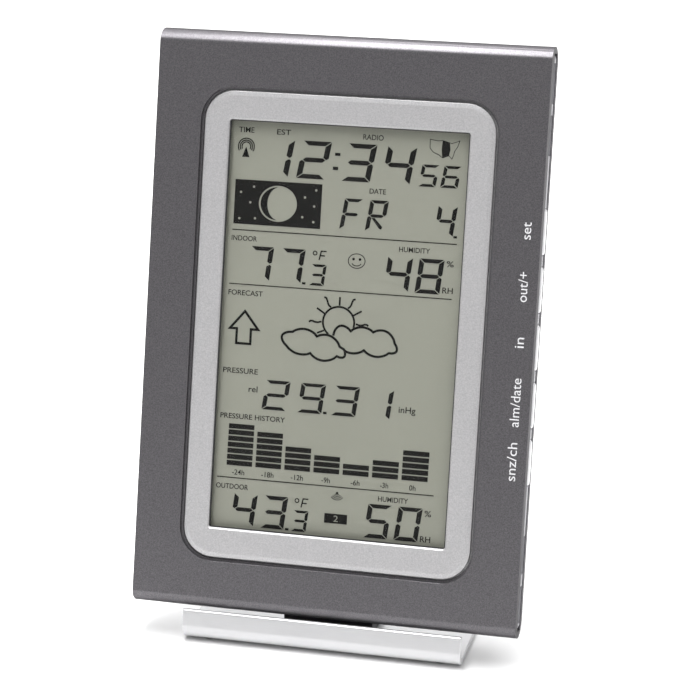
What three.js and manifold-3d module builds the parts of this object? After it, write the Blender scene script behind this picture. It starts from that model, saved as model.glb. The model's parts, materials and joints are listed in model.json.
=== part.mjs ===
// A home weather station: a display unit that leans back in the saddle of a bent-plate desk stand.
// Millimetres, +Z up, and the display faces -Y. The origin is on the table, under the middle of the object.
// The display unit is drawn upright in its own frame: x across the face, y back from it, z up it.
import * as THREE from "three";
import { mergeVertices } from "three/addons/utils/BufferGeometryUtils.js";
import Module from "manifold-3d";

const wasm = await Module();
wasm.setup();

// Display unit: outline and lean. The case runs from BOTTOM to HEIGHT.
const WIDTH = 132;
const BOTTOM = -0.65;
const HEIGHT = 194.4;
const LEAN = THREE.MathUtils.degToRad(14.5);
const HALF = WIDTH / 2;
const GAP = 0.3;

// Front fascia: a moulded tray. The case's top and bottom edges are domes: the fascia rolls back
// past the crown, and the rear cover falls away behind it.
const CROWN_Y = 7;
const ROLL_HIGH = 4.5;
const DOME_HIGH = 5.5;
const FASCIA_WALL = 2.2;
const FASCIA_ROLL_BACK = 9.6;
const FASCIA_SIDE_BACK = 4.6;
const FASCIA_SIDE_WALL = 2;

// Bezel ring and display window.
const BEZEL_HALF = 49.2;
const BEZEL_LOW = 17.5;
const BEZEL_HIGH = 174.6;
const BEZEL_CORNER = 10;
const BEZEL_FACE = 0.5;
const BEZEL_BACK = 3.4;
const BEZEL_GAP = 0.5;
const BEZEL_FLANGE = 2.8;
const WINDOW_HALF = 40.65;
const WINDOW_LOW = 27.7;
const WINDOW_HIGH = 165;
const LENS_FACE = 2.2;
const LENS_THICK = 0.8;
const LENS_REBATE = 1.8;

// Liquid crystal glass, its holder and the circuit board behind it.
const GLASS_FACE = 3.7;
const GLASS_BACK = 6.1;
const GLASS_MARGIN = 3.8;
const HOLDER_BACK = 8.4;
const HOLDER_BAR = 3.6;
const BOARD_FACE = 8.7;
const BOARD_BACK = 10.2;
const BOARD_HALF = 48.8;
const BOARD_LOW = 69.5;
const BOARD_HIGH = 168;
const BOARD_SCREW_HEIGHTS = [75, 162];
const PARTS_FACE = BOARD_BACK + GAP;

// Mid frame with the side buttons.
const FRAME_FACE = 4.9;
const FRAME_GROOVE_X = 65;
const FRAME_BAND_X = 65.8;
const FRAME_BAND_FACE = 6.6;
const FRAME_BAND_BACK = 9.8;
const FRAME_BACK = 11.3;
const FRAME_INNER_X = 63.5;
const FRAME_LOW = BOTTOM + 2.7;
const FRAME_HIGH = HEIGHT - 2.7;
const FRAME_BAR = 2.3;
const SLOT_SPANS = [[4, 16.7], [20.6, 33.5], [159, 172.2], [175.8, 189.2]];
const BUTTON_NAMES = [
  "button_set",
  "button_out_plus",
  "button_in",
  "button_alarm_date",
  "button_snooze_channel",
];
const BUTTON_TOP_CENTRE = 134.1;
const BUTTON_PITCH = 19.05;
const BUTTON_LENGTH = 15.3;
const BUTTON_WIDTH = 3.2;
const BUTTON_OUT_X = 66.3;
const BUTTON_MID_Y = 8.2;

// Rear cover, with a bulge that holds two AA cells and the socket for the stand.
const COVER_FACE = 11.8;
const COVER_BACK = 13.4;
const COVER_RIM_FACE = 10.1;
const COVER_RIM_WALL = 1.2;
const COVER_LIP_FACE = 9.9;
const COVER_LIP_HIGH = 2.4;
const BULGE_HALF = 50;
const BULGE_LOW = 18;
const BULGE_HIGH = 157;
const BULGE_BACK = 26.6;
const BULGE_WALL = 1.8;
const BULGE_CORNER = 8;
const BULGE_BEVEL = 2.4;
const CELL_RADIUS = 7.25;
const CELL_LENGTH = 49.5;
const CELL_HEIGHTS = [42, 57.6];
const CELL_Y = 17.45;
const TRAY = { x: 28.8, low: 34.2, high: 65.4, face: 10, wall: 1.2 };
const LID = { x: 33, low: 32, high: 67.6, face: 25.3 };
const CASE_SCREW_X = 57;
const CASE_SCREW_HEIGHTS = [14, 181];
const KEYHOLE_HEIGHT = 171;
const SOUND_X = 30;
const SOUND_HEIGHTS = [114, 118, 122, 126, 130];

// Desk stand: a plate bent up into a front lip, and the saddle screwed onto it.
const PLATE_HALF = 48.2;
const PLATE_BACK = 56;
const PLATE_THICK = 2;
const PLATE_RAISE = 0.8;
const LIP_HIGH = 11.6;
const LIP_BEHIND = 0.5;
const LIP_BEND = 4.5;
const UNIT_RAISE = 12.9;
const SADDLE_HALF = 15.5;
const SADDLE_TOE = 11.3;
const SADDLE_HEEL = 48;
const SADDLE_SCREW_X = 8;
const SADDLE_SCREW_Y = 19;
const TOWER_FACE = 13.8;
const TOWER_BACK = 24.6;
const TOWER_HIGH = 17.6;
const TONGUE_HALF = 10;
const TONGUE = { face: 16.2, back: 22.6, high: 30 };
const FOOT_RADIUS = 4;
const FOOT_THICK = 0.6;
const SCREW_SIDES = 12;

// ---- shapes ----

// Points of an arc in degrees, both ends included.
function arc(cx, cy, r, from, to, steps) {
  return Array.from({ length: steps + 1 }, (_, i) => {
    const a = THREE.MathUtils.degToRad(from + ((to - from) * i) / steps);
    return [cx + r * Math.cos(a), cy + r * Math.sin(a)];
  });
}

// A closed outline without repeated points.
function outline(points) {
  const apart = (p, q) => Math.hypot(p[0] - q[0], p[1] - q[1]) > 1e-3;
  const clean = points.filter((p, i) => apart(p, points[(i + 1) % points.length]));
  return new THREE.Shape(clean.map(([a, b]) => new THREE.Vector2(a, b)));
}

function roundedRect(x0, z0, x1, z1, r = 0, steps = 6) {
  if (r === 0) return outline([[x0, z0], [x1, z0], [x1, z1], [x0, z1]]);
  return outline([
    ...arc(x0 + r, z0 + r, r, 180, 270, steps),
    ...arc(x1 - r, z0 + r, r, 270, 360, steps),
    ...arc(x1 - r, z1 - r, r, 0, 90, steps),
    ...arc(x0 + r, z1 - r, r, 90, 180, steps),
  ]);
}

function extruded(shape, depth) {
  return new THREE.ExtrudeGeometry(shape, { depth, steps: 1, bevelEnabled: false });
}

// An outline in x and z, thick along y.
function facing(shape, y0, y1) {
  return extruded(shape, y1 - y0).rotateX(Math.PI / 2).translate(0, y1, 0);
}

// An outline in y and z, thick along x.
function sideways(shape, x0, x1) {
  const turn = new THREE.Matrix4().makeBasis(
    new THREE.Vector3(0, 1, 0),
    new THREE.Vector3(0, 0, 1),
    new THREE.Vector3(1, 0, 0),
  );
  return extruded(shape, x1 - x0).applyMatrix4(turn).translate(x0, 0, 0);
}

function box(x0, x1, y0, y1, z0, z1) {
  const g = new THREE.BoxGeometry(x1 - x0, y1 - y0, z1 - z0);
  return g.translate((x0 + x1) / 2, (y0 + y1) / 2, (z0 + z1) / 2);
}

// A round rod along y.
function rodY(x, z, r, y0, y1, sides = 16) {
  return new THREE.CylinderGeometry(r, r, y1 - y0, sides).translate(x, (y0 + y1) / 2, z);
}

function rodX(x0, x1, y, z, r, sides = 20) {
  const g = new THREE.CylinderGeometry(r, r, x1 - x0, sides).rotateZ(Math.PI / 2);
  return g.translate((x0 + x1) / 2, y, z);
}

function rodZ(x, y, z0, z1, r, sides = 16) {
  const g = new THREE.CylinderGeometry(r, r, z1 - z0, sides).rotateX(Math.PI / 2);
  return g.translate(x, y, (z0 + z1) / 2);
}

// A turned piece about y: pairs of radius and height, from one end of the axis to the other.
function turned(profile, sides) {
  return new THREE.LatheGeometry(profile.map(([r, y]) => new THREE.Vector2(r, y)), sides);
}

// A round wire through points.
function wire(points, r, steps, sides = 6) {
  const path = new THREE.CatmullRomCurve3(points.map((p) => new THREE.Vector3(...p)), false, "centripetal");
  const ring = outline(arc(0, 0, r, 0, 360 - 360 / sides, sides - 1));
  return new THREE.ExtrudeGeometry(ring, { steps, bevelEnabled: false, extrudePath: path });
}

// ---- joining and cutting ----

function solid(geometry) {
  const bare = geometry.clone();
  bare.deleteAttribute("normal");
  bare.deleteAttribute("uv");
  const merged = mergeVertices(bare, 1e-4);
  return new wasm.Manifold(new wasm.Mesh({
    numProp: 3,
    vertProperties: merged.attributes.position.array,
    triVerts: new Uint32Array(merged.index.array),
  }));
}

function geometryOf(body) {
  const mesh = body.getMesh();
  const geometry = new THREE.BufferGeometry();
  geometry.setAttribute("position", new THREE.BufferAttribute(new Float32Array(mesh.vertProperties), 3));
  geometry.setIndex(new THREE.BufferAttribute(new Uint32Array(mesh.triVerts), 1));
  return geometry.toNonIndexed();
}

function joined(...geometries) {
  return geometryOf(geometries.map(solid).reduce((a, b) => a.add(b)));
}

function cut(geometry, ...tools) {
  return geometryOf(tools.reduce((a, tool) => a.subtract(solid(tool)), solid(geometry)));
}

function shared(geometry, other) {
  return geometryOf(solid(geometry).intersect(solid(other)));
}

// ---- materials ----

function finish(color, roughness, metalness = 0) {
  return () => new THREE.MeshStandardMaterial({ color, roughness, metalness });
}

const gunmetal = finish(0x646266, 0.42, 0.4);
const silver = finish(0xc3c2c4, 0.38, 0.5);
const charcoal = finish(0x3b3a3c, 0.6);
const clear = finish(0xf2f4f2, 0.05);
const greyGlass = finish(0xa0a394, 0.25);
const blackPlastic = finish(0x262627, 0.6);
const rubber = finish(0x2e2e2e, 0.9);
const boardGreen = finish(0x1f5a3a, 0.45);
const steel = finish(0xb4b6b8, 0.3, 1);
const copper = finish(0xa8622e, 0.35, 1);
const ferrite = finish(0x3d3c40, 0.75);
const cellJacket = finish(0x3a5f86, 0.35, 0.4);
const redLead = finish(0xa32020, 0.5);
const blackLead = finish(0x1c1c1c, 0.5);
const satinSilver = finish(0xd8d8da, 0.3, 0.8);

function piece(name, geometry, material) {
  const mesh = new THREE.Mesh(geometry, material());
  mesh.name = name;
  mesh.geometry.computeVertexNormals();
  return mesh;
}

function group(...children) {
  const g = new THREE.Group();
  g.add(...children.flat());
  return g;
}

// Calls make(x, z, number) at four corner places, left and right of the middle.
function atCorners(halfX, heights, make) {
  const places = heights.flatMap((z) => [[-halfX, z], [halfX, z]]);
  return places.map(([x, z], i) => make(x, z, i + 1));
}

// Rods along y at the four corner places.
function cornerRods(halfX, heights, r, y0, y1, sides = 12) {
  return atCorners(halfX, heights, (x, z) => rodY(x, z, r, y0, y1, sides));
}

// ---- front: fascia, bezel, lens ----

// A quarter of an ellipse in y and z that starts on the crown, from the top edge or the bottom edge.
function domeQuarter(deep, high, top, steps = 8) {
  return Array.from({ length: steps + 1 }, (_, i) => {
    const a = (Math.PI / 2) * (i / steps);
    const drop = high * (1 - Math.cos(a));
    return [CROWN_Y + deep * Math.sin(a), top ? HEIGHT - drop : BOTTOM + drop];
  });
}

// The whole case's section in y and z, from the flat face to the back of the rear cover.
function domeProfile() {
  const back = COVER_BACK - CROWN_Y;
  return outline([
    ...domeQuarter(-CROWN_Y, ROLL_HIGH, false).reverse(),
    ...domeQuarter(back, DOME_HIGH, false).slice(1),
    ...domeQuarter(back, DOME_HIGH, true).reverse(),
    ...domeQuarter(-CROWN_Y, ROLL_HIGH, true).slice(1),
  ]);
}

// The space behind the fascia's wall.
function fasciaHollow() {
  const w = FASCIA_WALL;
  const inward = ([y, z]) => [y, z < HEIGHT / 2 ? z + w : z - w];
  const deep = w - CROWN_Y;
  return outline([
    ...domeQuarter(deep, ROLL_HIGH - w, false).reverse().map(inward),
    [FASCIA_ROLL_BACK + 1, BOTTOM + w],
    [FASCIA_ROLL_BACK + 1, HEIGHT - w],
    ...domeQuarter(deep, ROLL_HIGH - w, true).map(inward),
  ]);
}

function frontFascia() {
  const hollow = fasciaHollow();
  const innerX = HALF - FASCIA_SIDE_WALL;
  const sideNotch = shared(
    sideways(hollow, -HALF - 1, HALF + 1),
    box(-HALF - 2, HALF + 2, FASCIA_SIDE_BACK, FASCIA_ROLL_BACK + 2, BOTTOM, HEIGHT),
  );
  const tray = cut(
    shared(
      sideways(domeProfile(), -HALF, HALF),
      box(-HALF, HALF, 0, FASCIA_ROLL_BACK, BOTTOM, HEIGHT),
    ),
    sideways(hollow, -innerX, innerX),
    sideNotch,
    facing(bezelOutline(BEZEL_GAP), -1, FASCIA_WALL + 1),
  );
  const bosses = cornerRods(CASE_SCREW_X, CASE_SCREW_HEIGHTS, 3.2, FASCIA_WALL - 0.4, 7);
  const pilots = cornerRods(CASE_SCREW_X, CASE_SCREW_HEIGHTS, 1.6, 3.6, 8);
  return piece("front_fascia", cut(joined(tray, ...bosses), ...pilots), gunmetal);
}

// The bezel's outline and the window's outline, both grown by a margin.
function bezelOutline(grow) {
  const x = BEZEL_HALF + grow;
  return roundedRect(-x, BEZEL_LOW - grow, x, BEZEL_HIGH + grow, BEZEL_CORNER + grow, 8);
}

function windowOutline(grow) {
  const x = WINDOW_HALF + grow;
  return roundedRect(-x, WINDOW_LOW - grow, x, WINDOW_HIGH + grow, 0.8, 2);
}

function bezelRing() {
  const ring = facing(bezelOutline(0), BEZEL_FACE, BEZEL_BACK);
  const flange = facing(bezelOutline(BEZEL_FLANGE), FASCIA_WALL + GAP, BEZEL_BACK);
  const window = facing(windowOutline(0), 0, BEZEL_BACK + 1);
  const rebate = facing(windowOutline(LENS_REBATE), LENS_FACE - GAP, BEZEL_BACK + 1);
  return piece("bezel_ring", cut(joined(ring, flange), window, rebate), silver);
}

function displayLens() {
  const shape = windowOutline(LENS_REBATE - GAP);
  return piece("display_lens", facing(shape, LENS_FACE, LENS_FACE + LENS_THICK), clear);
}

// ---- display module ----

const GLASS = {
  x: WINDOW_HALF + GLASS_MARGIN,
  low: WINDOW_LOW - GLASS_MARGIN,
  high: WINDOW_HIGH + GLASS_MARGIN,
};

function lcdGlass() {
  const plate = box(-GLASS.x, GLASS.x, GLASS_FACE, GLASS_BACK, GLASS.low, GLASS.high);
  return piece("lcd_glass", plate, greyGlass);
}

function lcdHolder() {
  const inner = GLASS.x + GAP;
  const outer = inner + HOLDER_BAR;
  const reach = GAP + HOLDER_BAR;
  const outside = roundedRect(-outer, GLASS.low - reach, outer, GLASS.high + reach, 1.5, 3);
  const ring = cut(
    facing(outside, GLASS_FACE, HOLDER_BACK),
    box(-inner, inner, 0, HOLDER_BACK + 1, GLASS.low - GAP, GLASS.high + GAP),
  );
  const pilots = cornerRods(boardScrewX(), BOARD_SCREW_HEIGHTS, 1.2, 5, HOLDER_BACK + 1, 10);
  return piece("lcd_holder", cut(ring, ...pilots), blackPlastic);
}

function boardScrewX() {
  return GLASS.x + GAP + HOLDER_BAR / 2;
}

// Conductive rubber strips that join the glass to the board.
function zebraStrip(name, side) {
  const x = side * (GLASS.x - 1.8);
  return piece(name, box(x - 1.2, x + 1.2, GLASS_BACK + GAP, BOARD_FACE - GAP, 82, 155), rubber);
}

function mainBoard() {
  const shape = roundedRect(-BOARD_HALF, BOARD_LOW, BOARD_HALF, BOARD_HIGH, 1.5, 2);
  const plate = facing(shape, BOARD_FACE, BOARD_BACK);
  const holes = cornerRods(boardScrewX(), BOARD_SCREW_HEIGHTS, 1.2, BOARD_FACE - 1, BOARD_BACK + 1, 10);
  return piece("main_board", cut(plate, ...holes), boardGreen);
}

// A plain stepped screw along y: a shank from tip to neck, and a head from neck to top.
function screwBody({ tip, neck, top, shank, head }) {
  return turned([[0, tip], [shank, tip], [shank, neck], [head, neck], [head, top], [0, top]], SCREW_SIDES);
}

function boardScrews() {
  const size = { tip: 5.4, neck: BOARD_BACK + GAP, top: BOARD_BACK + 1.5, shank: 0.9, head: 1.9 };
  return atCorners(boardScrewX(), BOARD_SCREW_HEIGHTS, (x, z, n) =>
    piece("board_screw_" + n, screwBody(size).translate(x, 0, z), steel));
}

// A blob of black resin over the bare processor chip.
function chipDome() {
  const radius = 9;
  const height = 2.5;
  const side = arc(0, 0, 1, 0, 72, 4).map(([r, y]) => [radius * r, PARTS_FACE + height * y]);
  const profile = [[0, PARTS_FACE], ...side, [0, PARTS_FACE + height]];
  return piece("chip_dome", turned(profile, 20).translate(-6, 0, 112), blackPlastic);
}

function crystalCan() {
  const radius = 1.5;
  return piece("crystal_can", rodZ(16, PARTS_FACE + radius, 122, 130, radius, 12), steel);
}

function pressureSensor() {
  const [x, z] = [-34, 84];
  const steps = [[0, 0], [3.6, 0], [3.6, 2.2], [2.2, 2.6], [2.2, 3.4], [0, 3.4]];
  const can = turned(steps.map(([r, y]) => [r, PARTS_FACE + y]), 16).translate(x, 0, z);
  const port = rodY(x, z, 0.7, PARTS_FACE + 1.6, PARTS_FACE + 5, 10);
  return piece("pressure_sensor", cut(can, port), steel);
}

function humiditySensor() {
  const body = box(33, 39, PARTS_FACE, PARTS_FACE + 2, 142, 148);
  const port = rodY(36, 145, 1.7, PARTS_FACE + 0.8, PARTS_FACE + 4, 12);
  return piece("humidity_sensor", cut(body, port), blackPlastic);
}

// The alarm's sounder sits behind the sound slots.
function buzzer() {
  const [x, z] = [SOUND_X, SOUND_HEIGHTS[2]];
  const body = turned([[0, 19.6], [8.2, 19.6], [9, 20.4], [9, 24.4], [0, 24.4]], 20).translate(x, 0, z);
  return piece("buzzer", cut(body, rodY(x, z, 1.3, 18, 21.5, 10)), blackPlastic);
}

function receiverBoard() {
  const plate = box(-44, -20, 16.8, 18, 116, 146);
  const can = box(-40, -26, 17.8, 20.6, 122, 138);
  return piece("receiver_board", joined(plate, can), boardGreen);
}

// The receiver's wire antenna runs up from its board and along the top of the case.
function receiverAntenna() {
  const bends = [[-32, 146.4], [-32, 149.5], [-30, 152.4], [-24, 152.9], [6, 152.9], [40, 152.9]];
  const route = bends.map(([x, z]) => [x, 17.4, z]);
  return piece("receiver_antenna", wire(route, 0.5, 22), copper);
}

function ferriteRod() {
  return piece("ferrite_rod", rodX(-24, 34, 19.6, 92, 4.4), ferrite);
}

function ferriteCoil() {
  const sleeve = cut(rodX(-8, 14, 19.6, 92, 5.1), rodX(-9, 15, 19.6, 92, 4.7));
  return piece("ferrite_coil", sleeve, copper);
}

function batteryLead(name, x, low, material) {
  const route = [[x, 15, low], [x, 14.4, low + 6], [x, 13, 66], [x, 12.2, 74], [x, 10.9, 78]];
  return piece(name, wire(route, 0.7, 14), material);
}

// ---- side keys ----

function buttonCentres() {
  return BUTTON_NAMES.map((name, i) => [name, BUTTON_TOP_CENTRE - i * BUTTON_PITCH, i + 1]);
}

function buttonCap(name, z) {
  const halfLength = BUTTON_LENGTH / 2;
  const halfWidth = BUTTON_WIDTH / 2;
  const low = z - halfLength;
  const high = z + halfLength;
  const front = BUTTON_MID_Y - halfWidth;
  const back = BUTTON_MID_Y + halfWidth;
  const inset = 0.45;
  const crownShape = roundedRect(front + inset, low + inset, back - inset, high - inset, 1.1, 5);
  const bar = sideways(roundedRect(front, low, back, high, 1.5, 5), 63, BUTTON_OUT_X - 0.5);
  const crown = sideways(crownShape, 63, BUTTON_OUT_X);
  const flange = box(62.3, 63.2, front - 0.9, back + 0.8, low - 1.1, high + 1.1);
  return piece(name, joined(bar, crown, flange), silver);
}

function keySwitch(n, z) {
  const body = box(59.7, 61, BUTTON_MID_Y - 2.1, BUTTON_MID_Y + 2.1, z - 2.6, z + 2.6);
  const stem = rodX(60.8, 61.3, BUTTON_MID_Y, z, 1.1, 10);
  return piece("key_switch_" + n, joined(body, stem), blackPlastic);
}

function keyBoard() {
  return piece("key_board", box(58.2, 59.4, 5.2, 11.2, 50, 142), boardGreen);
}

// A flat ribbon from the key board to the main board.
function keyRibbon() {
  const front = [[49.4, 9.7], [52, 9.7], [54.4, 8], [57.9, 8]];
  const back = front.map(([x, y]) => [x, y + 0.5]).reverse();
  return piece("key_ribbon", extruded(outline([...front, ...back]), 10).translate(0, 0, 91), silver);
}

// ---- mid frame ----

function midFrame() {
  const ringShape = (x) => roundedRect(-x, FRAME_LOW, x, FRAME_HIGH, 1.2, 2);
  const ring = joined(
    facing(ringShape(FRAME_GROOVE_X), FRAME_FACE, FRAME_BAND_BACK),
    facing(ringShape(FRAME_BAND_X), FRAME_BAND_FACE, FRAME_BAND_BACK),
    facing(ringShape(FRAME_INNER_X + 1), FRAME_BAND_BACK - 0.5, FRAME_BACK),
  );
  const low = FRAME_LOW + FRAME_BAR;
  const high = FRAME_HIGH - FRAME_BAR;
  const inside = box(-FRAME_INNER_X, FRAME_INNER_X, 0, FRAME_BACK + 1, low, high);
  const blocks = atCorners(CASE_SCREW_X, CASE_SCREW_HEIGHTS, (x, z) =>
    box(x - 3.7, x + 3.7, 7.3, 10.3, Math.max(FRAME_LOW, z - 10), Math.min(FRAME_HIGH, z + 10)));
  const screwHoles = cornerRods(CASE_SCREW_X, CASE_SCREW_HEIGHTS, 1.7, 5, 12);
  const slots = SLOT_SPANS.flatMap(([z0, z1]) => [-HALF, HALF].map((x) =>
    box(x - 3.2, x + 3.2, FRAME_BAND_FACE + 0.1, FRAME_BAND_BACK - 0.1, z0, z1)));
  const halfHole = BUTTON_WIDTH / 2 + GAP;
  const buttonHoles = buttonCentres().map(([, z]) => sideways(
    roundedRect(
      BUTTON_MID_Y - halfHole,
      z - BUTTON_LENGTH / 2 - GAP,
      BUTTON_MID_Y + halfHole,
      z + BUTTON_LENGTH / 2 + GAP,
      1.7,
      4,
    ),
    62,
    HALF + 1,
  ));
  const body = joined(cut(ring, inside), ...blocks);
  return piece("mid_frame", cut(body, ...screwHoles, ...slots, ...buttonHoles), silver);
}

// ---- rear cover ----

function coverShell() {
  const plate = box(-HALF, HALF, COVER_FACE, COVER_BACK, BOTTOM, HEIGHT);
  const rimInside = HALF - COVER_RIM_WALL;
  const rims = [[-HALF, -rimInside], [rimInside, HALF]].map(([x0, x1]) =>
    box(x0, x1, COVER_RIM_FACE, COVER_FACE + 1, BOTTOM, HEIGHT));
  const lips = [BOTTOM, HEIGHT - COVER_LIP_HIGH].map((z) =>
    box(-HALF, HALF, COVER_LIP_FACE, COVER_FACE + 1, z, z + COVER_LIP_HIGH));
  const pan = shared(joined(plate, ...rims, ...lips), sideways(domeProfile(), -HALF, HALF));
  const bulgeShape = roundedRect(
    -BULGE_HALF + BULGE_BEVEL,
    BULGE_LOW + BULGE_BEVEL,
    BULGE_HALF - BULGE_BEVEL,
    BULGE_HIGH - BULGE_BEVEL,
    BULGE_CORNER - BULGE_BEVEL,
    5,
  );
  const bulge = new THREE.ExtrudeGeometry(bulgeShape, {
    depth: BULGE_BACK - COVER_FACE,
    steps: 1,
    bevelThickness: BULGE_BEVEL,
    bevelSize: BULGE_BEVEL,
    bevelSegments: 3,
  });
  bulge.rotateX(Math.PI / 2).translate(0, BULGE_BACK - BULGE_BEVEL, 0);
  const behindPlate = box(-HALF, HALF, COVER_FACE + 0.5, BULGE_BACK + 1, 0, HEIGHT);
  const bosses = cornerRods(CASE_SCREW_X, CASE_SCREW_HEIGHTS, 4.4, 10.6, COVER_FACE + 1, 16);
  return joined(pan, shared(bulge, behindPlate), ...bosses);
}

function bulgeHollow() {
  const w = BULGE_WALL;
  const shape = roundedRect(
    -BULGE_HALF + w,
    BULGE_LOW + w,
    BULGE_HALF - w,
    BULGE_HIGH - w,
    BULGE_CORNER - w,
    5,
  );
  return facing(shape, COVER_RIM_FACE, BULGE_BACK - w);
}

function batteryTray() {
  const t = TRAY;
  const x = t.x + t.wall;
  const walls = box(-x, x, t.face - t.wall, BULGE_BACK - 1, t.low - t.wall, t.high + t.wall);
  const ledge = box(-LID.x - 3, LID.x + 3, LID.face - 1.9, BULGE_BACK - 1, LID.low - 2.5, LID.high + 2.5);
  return joined(walls, ledge);
}

function traySpaces() {
  const t = TRAY;
  return [
    box(-t.x, t.x, t.face, BULGE_BACK + 1, t.low, t.high),
    box(-LID.x - GAP, LID.x + GAP, LID.face - GAP, BULGE_BACK + 1, LID.low - GAP, LID.high + GAP),
    box(-6.5, 6.5, LID.face - 1.5, LID.face, t.high - 0.1, t.high + 2),
    box(-9, 9, BULGE_BACK - 0.8, BULGE_BACK + 1, LID.high, LID.high + 4),
  ];
}

function keyhole() {
  const head = rodY(0, KEYHOLE_HEIGHT, 4.5, COVER_FACE - 1, COVER_BACK + 1, 20);
  const neck = facing(
    roundedRect(-2.3, KEYHOLE_HEIGHT, 2.3, KEYHOLE_HEIGHT + 10, 2.2, 5),
    COVER_FACE - 1,
    COVER_BACK + 1,
  );
  return [head, neck];
}

function soundSlots() {
  return SOUND_HEIGHTS.map((z) =>
    box(SOUND_X - 8, SOUND_X + 8, BULGE_BACK - 3, BULGE_BACK + 1, z - 0.8, z + 0.8));
}

function rearCover() {
  const socketBoss = box(-13, 13, 14.2, BULGE_BACK - 1, BULGE_LOW + 0.5, TRAY.low);
  const socket = box(
    -TONGUE_HALF - GAP,
    TONGUE_HALF + GAP,
    TONGUE.face - GAP,
    TONGUE.back + GAP,
    BULGE_LOW - 1,
    TONGUE.high + 0.6,
  );
  const screwHoles = cornerRods(CASE_SCREW_X, CASE_SCREW_HEIGHTS, 1.7, 10, 15);
  const headPockets = cornerRods(CASE_SCREW_X, CASE_SCREW_HEIGHTS, 3.1, 11.8, 15, 16);
  const hollowShell = cut(coverShell(), bulgeHollow());
  const furnished = joined(hollowShell, batteryTray(), socketBoss);
  const spaces = [...traySpaces(), socket, ...keyhole(), ...soundSlots(), ...screwHoles, ...headPockets];
  return piece("rear_cover", cut(furnished, ...spaces), charcoal);
}

function batteryCover() {
  const panel = facing(roundedRect(-LID.x, LID.low, LID.x, LID.high, 0.8, 2), LID.face, BULGE_BACK);
  const latch = box(-6, 6, LID.face - 1.1, LID.face + 0.5, TRAY.high + 0.3, TRAY.high + 1.6);
  const grooves = [60, 62.2, 64.4].map((z) => box(-7, 7, BULGE_BACK - 0.4, BULGE_BACK + 1, z, z + 1));
  return piece("battery_cover", cut(joined(panel, latch), ...grooves), charcoal);
}

function caseScrews() {
  const size = { tip: 4, neck: 12.1, top: 13.1, shank: 1.3, head: 2.7 };
  return atCorners(CASE_SCREW_X, CASE_SCREW_HEIGHTS, (x, z, n) =>
    piece("case_screw_" + n, screwBody(size).translate(x, 0, z), steel));
}

// ---- cells and their contacts ----

// One AA cell with its positive nub towards the given side.
function cell(name, z, plusSide) {
  const half = CELL_LENGTH / 2;
  const jacket = rodX(-half, half, CELL_Y, z, CELL_RADIUS, 24);
  const near = plusSide * (half - 0.5);
  const far = plusSide * (half + 1.3);
  const nub = rodX(Math.min(near, far), Math.max(near, far), CELL_Y, z, 2.7, 16);
  return piece(name, joined(jacket, nub), cellJacket);
}

// A conical contact spring against the flat end of a cell.
function contactSpring(name, z, side) {
  const turns = 2.5;
  const steps = 30;
  const wideX = side * (TRAY.x - 0.9);
  const narrowX = side * (CELL_LENGTH / 2 + 0.6);
  const helix = Array.from({ length: steps + 1 }, (_, i) => {
    const t = i / steps;
    const a = 2 * Math.PI * turns * t;
    const r = 4.8 - 2.4 * t;
    return [wideX + (narrowX - wideX) * t, CELL_Y + r * Math.cos(a), z + r * Math.sin(a)];
  });
  return piece(name, wire(helix, 0.25, 40, 5), steel);
}

function contactPlates() {
  const x0 = TRAY.x - 0.5;
  const x1 = TRAY.x - 0.2;
  const y0 = CELL_Y - 5.5;
  const y1 = CELL_Y + 5.5;
  const [low, high] = CELL_HEIGHTS;
  return [
    piece("contact_bridge", box(-x1, -x0, y0, y1, low - 5.5, high + 5.5), steel),
    piece("contact_positive", box(x0, x1, y0, y1, high - 5.5, high + 5.5), steel),
    piece("contact_negative", box(x0, x1, y0, y1, low - 5.5, low + 5.5), steel),
  ];
}

// ---- stand ----

// A point of the leaning display unit in the stand's upright frame: y back, z up from the table.
function leaned(y, z) {
  return [y * Math.cos(LEAN) + z * Math.sin(LEAN), UNIT_RAISE - y * Math.sin(LEAN) + z * Math.cos(LEAN)];
}

// The lip leans back with the display unit, just behind the plane of its face.
function standPlate() {
  const lean = THREE.MathUtils.radToDeg(LEAN);
  const half = PLATE_THICK / 2;
  const bendZ = PLATE_RAISE + LIP_BEND;
  const bendY = lipMiddle(bendZ) + (LIP_BEND - half) / Math.cos(LEAN);
  const edgeZ = LIP_HIGH - half;
  const profile = outline([
    ...arc(bendY, bendZ, LIP_BEND, 180 - lean, 270, 7),
    [PLATE_BACK, PLATE_RAISE],
    [PLATE_BACK, PLATE_RAISE + PLATE_THICK],
    ...arc(bendY, bendZ, LIP_BEND - PLATE_THICK, 270, 180 - lean, 5),
    ...arc(lipMiddle(edgeZ), edgeZ, half, -lean, 180 - lean, 6),
  ]);
  const holes = saddleScrewPlaces().map(([x, y]) => rodZ(x, y, 0, PLATE_RAISE + PLATE_THICK + 1, 1.9, 12));
  const sinks = saddleScrewPlaces().map(([x, y]) => rodZ(x, y, 0, PLATE_RAISE + 1.4, 3.1, 16));
  const bent = sideways(profile, -PLATE_HALF, PLATE_HALF);
  return piece("stand_plate", cut(bent, ...holes, ...sinks), satinSilver);
}

// Where the middle of the leaning lip is, at a height.
function lipMiddle(z) {
  return LIP_BEHIND + PLATE_THICK / 2 / Math.cos(LEAN) - (UNIT_RAISE - z) * Math.tan(LEAN);
}

function saddleScrewPlaces() {
  return [[-SADDLE_SCREW_X, SADDLE_SCREW_Y], [SADDLE_SCREW_X, SADDLE_SCREW_Y]];
}

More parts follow.
